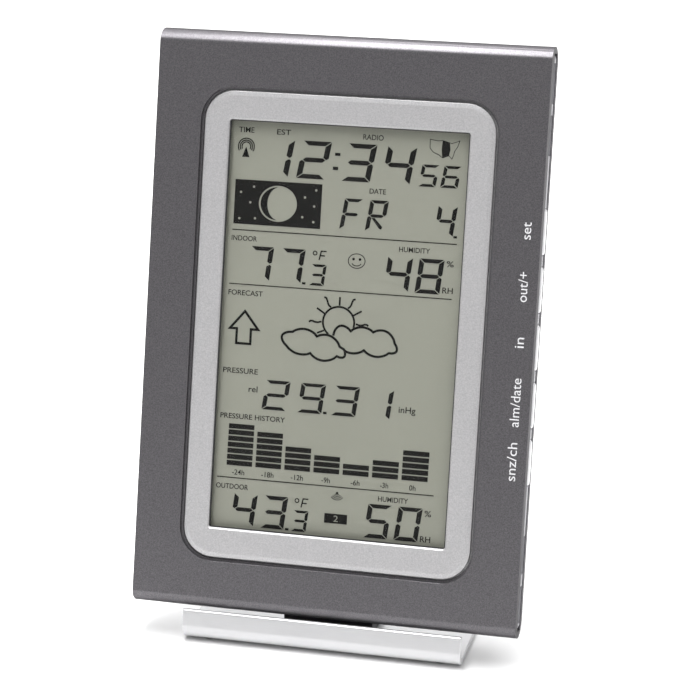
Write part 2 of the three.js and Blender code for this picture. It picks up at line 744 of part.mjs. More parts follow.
// The dark saddle: a toe under the unit, a tower behind it, and the tongue that fits the socket.
function standSaddle() {
  const base = PLATE_RAISE + PLATE_THICK + 0.2;
  const toeTop = UNIT_RAISE + BOTTOM - SADDLE_TOE * Math.tan(LEAN) - 0.4;
  const heel = leaned(TOWER_FACE, BOTTOM - 0.4);
  const side = outline([
    [SADDLE_TOE, base],
    [SADDLE_HEEL, base],
    [SADDLE_HEEL, base + 2.4],
    leaned(TOWER_BACK + 1, 3),
    leaned(TOWER_BACK, TOWER_HIGH),
    leaned(TOWER_FACE, TOWER_HIGH),
    heel,
    [SADDLE_TOE, toeTop],
  ]);
  const tongueSide = outline([
    leaned(TONGUE.face, TOWER_HIGH - 1),
    leaned(TONGUE.back, TOWER_HIGH - 1),
    leaned(TONGUE.back, TONGUE.high),
    leaned(TONGUE.face, TONGUE.high),
  ]);
  const tower = sideways(side, -SADDLE_HALF, SADDLE_HALF);
  const tongue = sideways(tongueSide, -TONGUE_HALF, TONGUE_HALF);
  const pilots = saddleScrewPlaces().map(([x, y]) => rodZ(x, y, 0, 12, 1.8, 12));
  return piece("stand_saddle", cut(joined(tower, tongue), ...pilots), charcoal);
}

function saddleScrews() {
  const head = PLATE_RAISE + 0.1;
  const profile = [[0, head], [2.7, head], [2.7, head + 1], [1.4, head + 1], [1.4, 11], [0, 11]];
  return saddleScrewPlaces().map(([x, y], i) => {
    const upright = turned(profile, SCREW_SIDES).rotateX(Math.PI / 2).translate(x, y, 0);
    return piece("saddle_screw_" + (i + 1), upright, steel);
  });
}

function footPads() {
  const front = 7;
  const back = PLATE_BACK - 7;
  return atCorners(PLATE_HALF - 8, [front, back], (x, y, n) =>
    piece("foot_pad_" + n, rodZ(x, y, 0, FOOT_THICK, FOOT_RADIUS, 16), rubber));
}

// ---- assembly ----

const displayUnit = group(
  frontFascia(),
  bezelRing(),
  displayLens(),
  lcdGlass(),
  lcdHolder(),
  zebraStrip("zebra_strip_left", -1),
  zebraStrip("zebra_strip_right", 1),
  mainBoard(),
  boardScrews(),
  chipDome(),
  crystalCan(),
  pressureSensor(),
  humiditySensor(),
  buzzer(),
  receiverBoard(),
  receiverAntenna(),
  ferriteRod(),
  ferriteCoil(),
  batteryLead("battery_lead_red", 34, 58, redLead),
  batteryLead("battery_lead_black", 40, 42, blackLead),
  keyBoard(),
  keyRibbon(),
  buttonCentres().map(([, z, n]) => keySwitch(n, z)),
  buttonCentres().map(([name, z]) => buttonCap(name, z)),
  midFrame(),
  rearCover(),
  batteryCover(),
  cell("battery_lower", CELL_HEIGHTS[0], -1),
  cell("battery_upper", CELL_HEIGHTS[1], 1),
  contactSpring("battery_spring_lower", CELL_HEIGHTS[0], 1),
  contactSpring("battery_spring_upper", CELL_HEIGHTS[1], -1),
  contactPlates(),
  caseScrews(),
);
displayUnit.rotation.x = -LEAN;
displayUnit.position.z = UNIT_RAISE;

const stand = group(standPlate(), standSaddle(), saddleScrews(), footPads());

const station = group(displayUnit, stand);
const extent = new THREE.Box3().setFromObject(station, true);
station.position.y = -(extent.min.y + extent.max.y) / 2;

export default group(station);
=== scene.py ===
import json
import math

import bmesh
import bpy
from mathutils import Matrix, Vector

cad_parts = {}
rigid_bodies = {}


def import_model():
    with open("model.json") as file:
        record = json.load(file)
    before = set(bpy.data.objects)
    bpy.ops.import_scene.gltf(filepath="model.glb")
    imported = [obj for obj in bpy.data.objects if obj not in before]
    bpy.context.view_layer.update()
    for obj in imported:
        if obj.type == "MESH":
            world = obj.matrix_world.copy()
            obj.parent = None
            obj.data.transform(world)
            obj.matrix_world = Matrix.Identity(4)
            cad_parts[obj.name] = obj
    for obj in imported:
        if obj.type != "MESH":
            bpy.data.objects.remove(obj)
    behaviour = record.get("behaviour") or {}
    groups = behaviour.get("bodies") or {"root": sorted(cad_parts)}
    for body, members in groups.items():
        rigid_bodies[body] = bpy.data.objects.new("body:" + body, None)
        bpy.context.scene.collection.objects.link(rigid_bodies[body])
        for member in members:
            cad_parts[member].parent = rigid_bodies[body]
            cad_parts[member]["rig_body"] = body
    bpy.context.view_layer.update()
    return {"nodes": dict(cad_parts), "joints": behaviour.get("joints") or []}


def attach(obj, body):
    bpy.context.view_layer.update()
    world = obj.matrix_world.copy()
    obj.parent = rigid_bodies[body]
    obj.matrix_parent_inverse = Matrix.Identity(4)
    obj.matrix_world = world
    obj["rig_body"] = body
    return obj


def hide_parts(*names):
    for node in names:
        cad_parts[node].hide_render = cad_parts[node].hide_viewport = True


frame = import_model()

MM = 0.001

# Sizes in millimetres. The display unit is drawn upright in its own frame: x across the face,
# y back from it and z up it. The stand's frame shares x and y, and its z is the height over the table.

# Case: a dome along its top and bottom edges, with its crown at CROWN_Y. It reaches down to BOTTOM.
BOTTOM = -0.65
CROWN_Y = 7
ROLL_HIGH = 4.5
DOME_HIGH = 5.5
CASE_BACK = 13.4

# Front fascia. Its opening for the bezel is wider at the face, down to a shelf.
FASCIA_WALL = 2.2
FASCIA_SIDE_BACK = 4.6
FASCIA_SIDE_WALL = 2
FASCIA_EDGE = 0.3
OPENING_STEP = 0.75
OPENING_SHELF = 1.5

# Bezel ring and window.
BEZEL_FLANGE = 2.8
BEZEL_CORNER = 10
BEZEL_GAP = 0.5
BEZEL_SHOULDER = 1.6
BEZEL_FLANGE_FACE = 2.5
LENS_LAP = 1.5
LENS_GAP = 0.3
LENS_EDGE = 0.15
LENS_REBATE = 1.8
WINDOW_CORNER = 0.8
# A thin black band lines the window's edge. It is painted shade, standing in for the shadow line there.
SHADE_BAND_GAP = 0.02
SHADE_BAND_WIDE = 0.3
SHADE_BAND_FACE = 0.75

# Display glass: two sheets, with the seal between them set in from their edge.
GLASS_CORNER = 0.6
GLASS_SEAL_INSET = 0.5
GLASS_SEAL_THICK = 0.2

# Print on the glass and on the fascia. STROKE widens the strokes of the figures.
INK_THICK = 0.07
INK_SUNK = 0.02
STROKE = 1.1
SEGMENT_GAP = 0.16
DIVIDER_WIDE = 0.32
LABEL_THICK = 0.04
LABEL_BASE = 62.7
LABEL_HIGH = 3.1

# Side keys: rounded bars with a flange behind the frame.
KEY_INSET_FRONT = 0.9
KEY_INSET_BACK = 0.8
KEY_INSET_ENDS = 1.1
KEY_CROWN = 1.0
KEY_CROWN_INSET = 0.85
KEY_ROOT = 0.6
KEY_FLANGE = 0.9

# Case screws.
SCREW_HEAD = 1
SCREW_SHANK = 2.6
CROSS_LONG = 3
CROSS_WIDE = 0.64
CROSS_DEEP = 0.7

# Cells.
CELL_CONTACT = 2.7
CELL_CONTACT_OUT = 1.3

# Desk stand.
LIP_BEND = 4.5
LIP_BEHIND = 0.5
PLATE_THICK = 2

# Camera, in degrees, metres and millimetres of lens, and the light from all around.
CAMERA_AZIMUTH = 13.37
CAMERA_ELEVATION = 19.41
CAMERA_DISTANCE = 0.805
CAMERA_LENS = 124.86
CAMERA_AIM = (0.00457, 0, -0.00626)
WORLD_LIGHT = 0.32

SCENE = bpy.context.scene


# ---- frames ----

def unit_lean():
    lift = next(j for j in frame["joints"] if j["name"] == "unit_lift")
    _, back, up = lift["axis"]
    return math.atan2(back, up)


LEAN = unit_lean()


def unit_frame():
    """The display unit's own millimetres to the row frame. It leans along the joint that lifts it."""
    lean = Matrix.Rotation(-LEAN, 4, "X")
    points = [lean.inverted() @ v.co for v in frame["nodes"]["front_fascia"].data.vertices]
    corner = Vector((0, min(p.y for p in points), min(p.z for p in points) - BOTTOM * MM))
    return Matrix.Translation(lean @ corner) @ lean @ Matrix.Scale(MM, 4)


UNIT = unit_frame()
STAND = Matrix.Translation((0, UNIT.translation.y, 0)) @ Matrix.Scale(MM, 4)
UNIT_RAISE = UNIT.translation.z / MM


def span(node, place=UNIT):
    """Lowest and highest corner of a CAD node in its own frame, in millimetres."""
    points = [place.inverted() @ v.co for v in frame["nodes"][node].data.vertices]
    return [Vector(pick(p[i] for p in points) for i in range(3)) for pick in (min, max)]


FASCIA_HIGH = span("front_fascia")[1]
HALF = FASCIA_HIGH.x
HEIGHT = FASCIA_HIGH.z
RING_LOW, RING_HIGH = span("bezel_ring")
LENS_LOW, LENS_HIGH = span("display_lens")
GLASS_LOW, GLASS_HIGH = span("lcd_glass")


# ---- outlines ----

def arc(cx, cy, r, start, end, steps=8, ry=None):
    """Points of an arc in degrees, both ends included."""
    angles = [math.radians(start + (end - start) * i / steps) for i in range(steps + 1)]
    return [(cx + r * math.cos(a), cy + (ry or r) * math.sin(a)) for a in angles]


def rounded(x0, z0, x1, z1, r, steps=8):
    """A rectangle with rounded corners."""
    corners = [(x1 - r, z1 - r, 0), (x0 + r, z1 - r, 90), (x0 + r, z0 + r, 180), (x1 - r, z0 + r, 270)]
    return [p for cx, cz, a in corners for p in arc(cx, cz, r, a, a + 90, steps)]


def disc(x, z, r, steps=32, rz=None):
    return arc(x, z, r, 0, 360 - 360 / steps, steps - 1, rz)


def bezel_outline(grow):
    """The bezel's outer edge, grown by a margin."""
    x = RING_HIGH.x - BEZEL_FLANGE + grow
    low = RING_LOW.z + BEZEL_FLANGE - grow
    high = RING_HIGH.z - BEZEL_FLANGE + grow
    return rounded(-x, low, x, high, BEZEL_CORNER + grow, 10)


def window_outline(grow):
    """The window's edge, grown by a margin."""
    x = LENS_HIGH.x - LENS_LAP + grow
    low = LENS_LOW.z + LENS_LAP - grow
    high = LENS_HIGH.z - LENS_LAP + grow
    return rounded(-x, low, x, high, max(0.3, WINDOW_CORNER + grow), 10)


# ---- meshes ----

def closed(points, faces):
    """A mesh with its doubled points joined and its faces turned outwards."""
    mesh = bpy.data.meshes.new("part")
    mesh.from_pydata(points, [], faces)
    work = bmesh.new()
    work.from_mesh(mesh)
    bmesh.ops.remove_doubles(work, verts=work.verts, dist=1e-5)
    bmesh.ops.recalc_face_normals(work, faces=work.faces)
    work.to_mesh(mesh)
    work.free()
    return mesh


def lofted(loops, ends=True):
    """A closed body through loops of equally many points. Without ends, the last loop joins the first."""
    count = len(loops[0])
    faces = []
    for i in range(len(loops) - (1 if ends else 0)):
        j = (i + 1) % len(loops)
        for k in range(count):
            n = (k + 1) % count
            faces.append((i * count + k, i * count + n, j * count + n, j * count + k))
    if ends:
        last = (len(loops) - 1) * count
        faces.append(tuple(range(count)))
        faces.append(tuple(range(last, last + count)))
    return closed([p for loop in loops for p in loop], faces)


def facing(outline, y0, y1):
    """An outline in x and z, thick along y."""
    return lofted([[(x, y, z) for x, z in outline] for y in (y0, y1)])


def sideways(outline, x0, x1):
    """An outline in y and z, thick along x."""
    return lofted([[(x, y, z) for y, z in outline] for x in (x0, x1)])


def framed(sections):
    """A ring whose section runs through pairs of an outline and a depth y."""
    return lofted([[(x, y, z) for x, z in outline] for outline, y in sections], ends=False)


def turned(profile, place=Matrix.Identity(4), steps=32):
    """A body turned about its own z axis, from pairs of radius and height, then placed."""
    mesh = lofted([[(x, y, h) for x, y in disc(0, 0, r, steps)] for r, h in profile])
    mesh.transform(place)
    return mesh


def gathered(meshes):
    """Several meshes as one, each still a closed body of its own."""
    work = bmesh.new()
    for mesh in meshes:
        work.from_mesh(mesh)
        bpy.data.meshes.remove(mesh)
    whole = bpy.data.meshes.new("parts")
    work.to_mesh(whole)
    work.free()
    return whole


def with_modifiers(mesh, *modifiers):
    """The mesh after modifiers, which are given as a type and its settings."""
    work = bpy.data.objects.new("work", mesh)
    SCENE.collection.objects.link(work)
    for kind, settings in modifiers:
        modifier = work.modifiers.new(kind, kind)
        for name, value in settings.items():
            setattr(modifier, name, value)
    made = bpy.data.meshes.new_from_object(work.evaluated_get(bpy.context.evaluated_depsgraph_get()))
    bpy.data.objects.remove(work)
    bpy.data.meshes.remove(mesh)
    return made


def fitted(mesh, operation, tools):
    """The mesh with tools cut out of it, joined to it or kept inside it."""
    helpers = [bpy.data.objects.new("tool", tool) for tool in tools]
    for helper in helpers:
        SCENE.collection.objects.link(helper)
    steps = [("BOOLEAN", {"operation": operation, "solver": "MANIFOLD", "object": h}) for h in helpers]
    made = with_modifiers(mesh, *steps)
    for helper in helpers:
        bpy.data.objects.remove(helper)
    return made


def cut(mesh, *tools):
    return fitted(mesh, "DIFFERENCE", tools)


def joined(mesh, *others):
    return fitted(mesh, "UNION", others)


def softened(mesh, edge, limit=38):
    """The mesh with its edges rounded where they are sharper than a limit in degrees."""
    rounding = {
        "width": edge,
        "segments": 3,
        "limit_method": "ANGLE",
        "angle_limit": math.radians(limit),
        "miter_outer": "MITER_ARC",
    }
    return with_modifiers(mesh, ("BEVEL", rounding))


def piece(name, mesh, finish, body, replaces=(), place=UNIT, sharp=40):
    """Puts a mesh in its place, smoothly shaded, with its finish and the body it rides on."""
    mesh.name = name
    mesh.transform(place)
    mesh.shade_smooth()
    mesh.set_sharp_from_angle(angle=math.radians(sharp))
    mesh = with_modifiers(mesh, ("WEIGHTED_NORMAL", {"keep_sharp": True, "weight": 50}))
    mesh.materials.clear()
    mesh.materials.append(finish)
    obj = bpy.data.objects.new(name, mesh)
    SCENE.collection.objects.link(obj)
    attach(obj, body)
    if replaces:
        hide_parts(*replaces)


# ---- shader maths ----

class Value:
    """An output socket of a finish. Python's own operators on it add Math nodes."""

    def __init__(self, finish, socket):
        self.finish = finish
        self.socket = socket

    def maths(self, operation, first, second):
        return self.finish.node("ShaderNodeMath", {"operation": operation}, {0: first, 1: second})

    def __add__(self, other):
        return self.maths("ADD", self, other)

    def __radd__(self, other):
        return self.maths("ADD", other, self)

    def __sub__(self, other):
        return self.maths("SUBTRACT", self, other)

    def __rsub__(self, other):
        return self.maths("SUBTRACT", other, self)

    def __mul__(self, other):
        return self.maths("MULTIPLY", self, other)

    def __rmul__(self, other):
        return self.maths("MULTIPLY", other, self)


class Finish:
    """One procedural material, built node by node around its shader."""

    def __init__(self, name, **constants):
        self.material = bpy.data.materials.new(name)
        self.material.use_nodes = True
        self.nodes = self.material.node_tree.nodes
        self.links = self.material.node_tree.links
        self.shader = self.nodes["Principled BSDF"]
        for socket, value in constants.items():
            self.shader.inputs[socket.replace("_", " ")].default_value = value

    def node(self, kind, settings, sockets, output=0):
        """Adds a node: its settings first, then the values or links of its sockets."""
        made = self.nodes.new(kind)
        for name, value in settings.items():
            setattr(made, name, value)
        for name, value in sockets.items():
            if isinstance(value, Value):
                self.links.new(value.socket, made.inputs[name])
            else:
                made.inputs[name].default_value = value
        return Value(self, made.outputs[output])

    def noise(self, scale, detail=2.0, roughness=0.5, place=None):
        sockets = {"Scale": scale, "Detail": detail, "Roughness": roughness}
        sockets["Vector"] = place or self.place()
        return self.node("ShaderNodeTexNoise", {}, sockets)

    def place(self, stretch=(1, 1, 1)):
        """Where a point is on the object, in metres, stretched along each axis."""
        here = self.node("ShaderNodeTexCoord", {}, {}, "Object")
        return self.node("ShaderNodeVectorMath", {"operation": "MULTIPLY"}, {0: here, 1: stretch})

    def mix(self, amount, first, second):
        """A colour between two colours."""
        sockets = {0: amount, 6: first, 7: second}
        return self.node("ShaderNodeMix", {"data_type": "RGBA"}, sockets, 2)

    def feed(self, socket, value):
        self.links.new(value.socket, self.shader.inputs[socket])

    def bump(self, height, distance, strength=1.0):
        """Raises the surface by a height from 0 to 1 times the distance in metres."""
        sockets = {"Height": height, "Distance": distance, "Strength": strength}
        self.feed("Normal", self.node("ShaderNodeBump", {}, sockets))


def grey(level):
    return (level, level, level, 1)


def rgb(red, green, blue):
    """A colour given in screen values from 0 to 255."""
    def linear(c):
        c = c / 255
        return c / 12.92 if c <= 0.04045 else ((c + 0.055) / 1.055) ** 2.4
    return (linear(red), linear(green), linear(blue), 1)


def moulded(name, color, roughness, grain=2600, depth=0.00002, spread=0.12, **constants):
    """Moulded plastic: a fine eroded grain, and slow changes of shade and gloss."""
    f = Finish(name, **constants)
    fine = f.noise(grain, 3.0, 0.6)
    slow = f.noise(38, 2.0)
    darker = tuple(c * (1 - spread) for c in color[:3]) + (1,)
    lighter = tuple(min(1, c * (1 + spread)) for c in color[:3]) + (1,)
    f.feed("Base Color", f.mix(fine * 0.5 + slow * 0.5, darker, lighter))
    f.feed("Roughness", roughness - 0.06 + slow * 0.08 + fine * 0.05)
    f.bump(fine, depth, 0.5)
    return f.material


def metal(name, color, roughness, brushed=(1, 1, 1)):
    """Bare or plated metal with fine drawn lines or a fine blasted grain."""
    f = Finish(name, Metallic=1.0)
    lines = f.noise(900, 3.0, 0.6, f.place(brushed))
    slow = f.noise(60, 2.0)
    darker = tuple(c * 0.86 for c in color[:3]) + (1,)
    f.feed("Base Color", f.mix(lines * 0.6 + slow * 0.4, darker, color))
    f.feed("Roughness", roughness - 0.05 + lines * 0.1 + slow * 0.04)
    f.bump(lines, 0.000008, 0.3)
    return f.material


# ---- finishes ----

def gunmetal_paint():
    """Satin dark grey paint with fine metal flakes."""
    f = Finish("gunmetal_paint", Specular_IOR_Level=0.05, Specular_Tint=grey(0.2))
    flakes = f.noise(2700, 1.0, 0.5)
    soft = f.noise(700, 2.0, 0.5)
    tone = f.mix(flakes * 3 - 1, rgb(94, 92, 95), rgb(117, 115, 118))
    f.feed("Base Color", f.mix(soft * 0.3, tone, rgb(105, 103, 106)))
    f.feed("Metallic", flakes * 0.06 + 0.62)
    f.feed("Roughness", 0.28 + soft * 0.07)
    f.bump(flakes, 0.000003, 0.15)
    return f.material


def silver_paint():
    """Light silver paint with a very fine sparkle."""
    f = Finish("silver_paint")
    flakes = f.noise(2200, 2.0, 0.7)
    soft = f.noise(120, 2.0, 0.5)
    tone = f.mix(flakes * 3 - 1, rgb(164, 163, 165), rgb(192, 191, 192))
    f.feed("Base Color", f.mix(soft * 0.4, tone, rgb(179, 178, 179)))
    f.feed("Metallic", flakes * 0.3 + 0.25)
    f.feed("Roughness", 0.34 + soft * 0.1)
    f.bump(flakes, 0.000006, 0.3)
    return f.material


def clear_window():
    """Clear plastic sheet, with the faintest wave in its gloss."""
    f = Finish("clear_window", Alpha=0.02, IOR=1.49)
    slow = f.noise(25, 1.0)
    f.feed("Base Color", f.mix(slow, rgb(100, 104, 102), rgb(116, 118, 117)))
    f.feed("Roughness", 0.03 + slow * 0.02)
    return f.material


def display_glass():
    """Greenish grey liquid crystal glass, a little uneven."""
    f = Finish("display_glass", IOR=1.5)
    fine = f.noise(1500, 2.0, 0.6)
    slow = f.noise(18, 2.0)
    f.feed("Base Color", f.mix(fine * 0.5 + slow * 0.5, rgb(130, 131, 120), rgb(141, 142, 130)))
    f.feed("Roughness", 0.42 + slow * 0.1)
    f.bump(fine, 0.000004, 0.2)
    return f.material


def display_ink():
    """The figures of the display, almost black."""
    f = Finish("display_ink", IOR=1.2)
    slow = f.noise(120, 2.0)
    f.feed("Base Color", f.mix(slow, rgb(14, 13, 12), rgb(22, 21, 20)))
    f.feed("Roughness", 0.6 + slow * 0.1)
    return f.material


def faint_ink():
    """The thin printed words and lines, a little paler than the figures."""
    f = Finish("faint_ink", IOR=1.2)
    slow = f.noise(120, 2.0)
    f.feed("Base Color", f.mix(slow, rgb(20, 19, 18), rgb(28, 27, 25)))
    f.feed("Roughness", 0.5 + slow * 0.1)
    return f.material


def label_ink():
    """White pad-printed lettering."""
    f = Finish("label_ink")
    fine = f.noise(4000, 2.0)
    f.feed("Base Color", f.mix(fine, rgb(206, 206, 208), rgb(222, 222, 224)))
    f.feed("Roughness", 0.45 + fine * 0.1)
    return f.material


GUNMETAL = gunmetal_paint()
SILVER = silver_paint()
CLEAR = clear_window()
GLASS = display_glass()
INK = display_ink()
FAINT_INK = faint_ink()
LABEL_INK = label_ink()
FRAME_SILVER = moulded("frame_silver", rgb(164, 163, 167), 0.4, Specular_IOR_Level=0.15)
REAR_GREY = moulded("rear_grey", rgb(76, 74, 78), 0.5, grain=1800, depth=0.00006, Specular_IOR_Level=0.15)
SADDLE_GREY = moulded("saddle_grey", rgb(56, 55, 58), 0.5, grain=1800, depth=0.00006)
BLACK_PLASTIC = moulded("black_plastic", rgb(38, 38, 40), 0.55)
BLACK_RUBBER = moulded("black_rubber", rgb(44, 44, 44), 0.85, grain=1200, depth=0.00004)
KEY_SILVER = moulded("key_silver", rgb(238, 238, 240), 0.3, depth=0.000008, spread=0.04)
BOARD_GREEN = moulded("board_green", rgb(34, 88, 56), 0.4, grain=900)
RED_WIRE = moulded("red_wire", rgb(164, 34, 32), 0.45)
CELL_BLUE = moulded("cell_jacket", rgb(60, 98, 140), 0.3, depth=0.000005, Metallic=0.4)
FERRITE = moulded("ferrite", rgb(62, 60, 64), 0.7, grain=1500, depth=0.00005)
RIBBON_GREY = moulded("ribbon_grey", rgb(178, 178, 180), 0.5)
STEEL = metal("bright_steel", grey(0.42), 0.28)
COPPER = metal("copper_wire", (0.72, 0.35, 0.16, 1), 0.3, (1, 12, 12))


def stand_satin():
    """Satin silver plate with fine lines along its length."""
    f = Finish("stand_satin")
    lines = f.noise(260, 3.0, 0.6, f.place((1, 14, 14)))
    slow = f.noise(40, 2.0)
    f.feed("Base Color", f.mix(lines * 0.5 + slow * 0.5, rgb(198, 198, 200), rgb(214, 214, 215)))
    f.feed("Metallic", slow * 0.1 + 0.45)
    f.feed("Roughness", 0.26 + lines * 0.08)
    f.bump(lines, 0.000005, 0.25)
    return f.material


STAND_SATIN = stand_satin()


# ---- front: fascia, bezel, window ----

def dome(deep, high, top, inset=0):
    """A quarter of an ellipse in y and z from the crown, on the top edge or the bottom edge."""
    crown = HEIGHT - inset if top else BOTTOM + inset
    quarter = arc(CROWN_Y, crown, abs(deep), 90, 0, 20, high)
    side = 1 if deep > 0 else -1
    points = [(CROWN_Y + side * (y - CROWN_Y), high - (z - crown)) for y, z in quarter]
    return [(y, crown - drop if top else crown + drop) for y, drop in points]


def case_section():
    """The whole case's section in y and z, from its flat face to the back of the rear cover."""
    back = CASE_BACK - CROWN_Y
    return [
        *dome(-CROWN_Y, ROLL_HIGH, False)[::-1],
        *dome(back, DOME_HIGH, False)[1:],
        *dome(back, DOME_HIGH, True)[::-1],
        *dome(-CROWN_Y, ROLL_HIGH, True)[1:],
    ]


def fascia_space(back):
    """The space behind the fascia's wall, as a section."""
    deep = FASCIA_WALL - CROWN_Y
    high = ROLL_HIGH - FASCIA_WALL
    return [
        *dome(deep, high, False, FASCIA_WALL)[::-1],
        (back, BOTTOM + FASCIA_WALL),
        (back, HEIGHT - FASCIA_WALL),
        *dome(deep, high, True, FASCIA_WALL),
    ]


def slab(y0, y1):
    """A block wider than the case, between two depths."""
    return facing([(-80, -10), (80, -10), (80, HEIGHT + 10), (-80, HEIGHT + 10)], y0, y1)


def front_fascia():
    inner = HALF - FASCIA_SIDE_WALL
    back = FASCIA_HIGH.y
    space = fascia_space(back + 1)
    notch = fitted(sideways(space, -HALF - 1, HALF + 1), "INTERSECT", [slab(FASCIA_SIDE_BACK, back + 2)])
    narrow, wide = BEZEL_GAP, BEZEL_GAP + OPENING_STEP
    steps = [
        (wide + 0.3, -0.3),
        (wide, 0.05),
        (wide, OPENING_SHELF),
        (narrow, OPENING_SHELF + 0.1),
        (narrow, FASCIA_WALL + 1),
    ]
    opening = lofted([[(x, y, z) for x, z in bezel_outline(grow)] for grow, y in steps])
    tray = fitted(sideways(case_section(), -HALF, HALF), "INTERSECT", [slab(-1, back)])
    mesh = softened(cut(tray, sideways(space, -inner, inner), notch, opening), FASCIA_EDGE)
    piece("fascia", mesh, GUNMETAL, "display_unit", ["front_fascia"])


def bezel_ring():
    """A ring with a flange behind it. Each pair is how far an outline grows, and how deep it lies."""
    face = RING_LOW.y
    back = RING_HIGH.y
    lens = LENS_LOW.y - LENS_GAP
    shoulder = [(0.0, 1.2), (-0.02, 0.6), (-0.08, 0.42), (-0.22, 0.3), (-0.4, 0.24)]
    ease = [(-BEZEL_SHOULDER + 0.1, 0.04), (-BEZEL_SHOULDER - 0.1, 0.01), (-BEZEL_SHOULDER - 0.35, 0)]
    flange = bezel_outline(BEZEL_FLANGE)
    sections = [(flange, back), (flange, BEZEL_FLANGE_FACE), (bezel_outline(0), BEZEL_FLANGE_FACE)]
    sections += [(bezel_outline(grow), face + deep) for grow, deep in shoulder + ease]
    edge = [(0.6, 0), (0.5, 0.03), (0.07, 0.46), (0.02, 0.53), (0, 0.65)]
    sections += [(window_outline(grow), face + deep) for grow, deep in edge]
    sections += [(window_outline(0), lens), (window_outline(LENS_REBATE), lens)]
    sections += [(window_outline(LENS_REBATE), back)]
    mesh = framed(sections)
    piece("bezel", mesh, SILVER, "display_unit", ["bezel_ring"])


def display_lens():
    mesh = softened(facing(window_outline(LENS_LAP), LENS_LOW.y, LENS_HIGH.y), LENS_EDGE)
    piece("window", mesh, CLEAR, "display_unit", ["display_lens"])


def window_shade_band():
    """A thin black band between the bezel and the window. It is painted shade: a dark line standing in
    for the shadow along the window's edge.
    """
    outer, inner = window_outline(-SHADE_BAND_GAP), window_outline(-SHADE_BAND_GAP - SHADE_BAND_WIDE)
    front, back = RING_LOW.y + SHADE_BAND_FACE, LENS_LOW.y - SHADE_BAND_GAP
    mesh = framed([(outer, back), (outer, front), (inner, front + SHADE_BAND_WIDE / 2), (inner, back)])
    # The band's black finish is painted shade along the window's edge.
    piece("window_shade_band", mesh, BLACK_RUBBER, "display_unit")


def lcd_glass():
    """Two sheets of glass with the seal between them."""
    middle = (GLASS_LOW.y + GLASS_HIGH.y) / 2
    x, low, high = GLASS_HIGH.x, GLASS_LOW.z, GLASS_HIGH.z
    seal_front, seal_back = middle - GLASS_SEAL_THICK / 2, middle + GLASS_SEAL_THICK / 2
    insets = [(0, GLASS_LOW.y), (0, seal_front), (GLASS_SEAL_INSET, seal_front),
              (GLASS_SEAL_INSET, seal_back), (0, seal_back), (0, GLASS_HIGH.y)]
    outlines = [(rounded(-x + d, low + d, x - d, high - d, GLASS_CORNER, 4), y) for d, y in insets]
    mesh = softened(lofted([[(a, y, b) for a, b in o] for o, y in outlines]), 0.12)
    piece("display", mesh, GLASS, "display_unit", ["lcd_glass"])


# ---- the display's figures ----

def ink_solid(outline):
    """A thin closed print on the glass."""
    return facing(outline, GLASS_LOW.y - INK_THICK, GLASS_LOW.y + INK_SUNK)


def ink_band(points, width, loop=False):
    """A printed line of even width through points."""
    count = len(points)
    left, right = [], []
    for i, (x, z) in enumerate(points):
        before = points[i - 1] if loop or i else points[i]
        after = points[(i + 1) % count] if loop or i < count - 1 else points[i]
        a = Vector((x - before[0], z - before[1])).normalized() if before != points[i] else None
        b = Vector((after[0] - x, after[1] - z)).normalized() if after != points[i] else None
        along = ((a or b) + (b or a)).normalized()
        side = Vector((-along.y, along.x))
        reach = width / 2
        if a and b:
            # A sharp bend keeps its corner within reach.
            reach = min(reach / max(0.35, side.dot(Vector((-a.y, a.x)))), width * 1.2)
        left.append((x + side.x * reach, z + side.y * reach))
        right.append((x - side.x * reach, z - side.y * reach))
    if not loop:
        return ink_solid(left + right[::-1])
    front, back = GLASS_LOW.y - INK_THICK, GLASS_LOW.y + INK_SUNK
    return framed([(left, front), (left, back), (right, back), (right, front)])


SEGMENTS = {
    "0": "abcdef", "1": "bc", "2": "abged", "3": "abgcd", "4": "fgbc", "5": "afgcd",
    "6": "afgecd", "7": "abc", "8": "abcdefg", "9": "abcdfg", "F": "aefg", "R": "abefgk",
}


def segment_outlines(wide, high, post, bar):
    """The outlines of a figure's seven segments, and of the leg of an R."""
    gap = SEGMENT_GAP
    mid = high / 2
    top = [
        (gap, high),
        (wide - gap, high),
        (wide - post - gap, high - bar),
        (post + gap, high - bar),
    ]
    half_bar = bar / 2
    middle = [
        (0.45 * post + gap, mid),
        (post + gap * 0.6, mid + half_bar),
        (wide - post - gap * 0.6, mid + half_bar),
        (wide - 0.45 * post - gap, mid),
        (wide - post - gap * 0.6, mid - half_bar),
        (post + gap * 0.6, mid - half_bar),
    ]
    upper_left = [
        (0, high - gap * 1.4),
        (post, high - bar - gap * 1.4),
        (post, mid + half_bar + gap),
        (0.4 * post, mid + gap),
        (0, mid + gap + 0.3 * post),
    ]
    turned_over = lambda outline: [(x, high - z) for x, z in outline]
    mirrored = lambda outline: [(wide - x, z) for x, z in outline]
    leg = [
        (post, mid - half_bar - gap),
        (post + 1.1 * bar, mid - half_bar - gap),
        (wide - 0.4 * post, 0.16 * high),
        (wide - 0.6 * post, 0.08 * high),
        (wide - 1.1 * post, 0.1 * high),
    ]
    return {
        "a": top,
        "b": mirrored(upper_left),
        "c": mirrored(turned_over(upper_left)),
        "d": turned_over(top),
        "e": turned_over(upper_left),
        "f": upper_left,
        "g": middle,
        "k": leg,
    }


def figures(text, lefts, base, wide, high, post, bar, slant=0.12):
    """Seven-segment figures, each from its own left edge at the base line."""
    parts = []
    outlines = segment_outlines(wide, high, post * STROKE, bar * STROKE)
    for mark, left in zip(text, lefts):
        for segment in SEGMENTS[mark]:
            leaned = [(left + x + z * slant, base + z) for x, z in outlines[segment]]
            parts.append(ink_solid(leaned))
    return parts


def ink_dots(*corners):
    """Small upright blocks, from lowest and highest corners."""
    return [ink_solid(rounded(x0, z0, x1, z1, 0.12, 3)) for x0, z0, x1, z1 in corners]


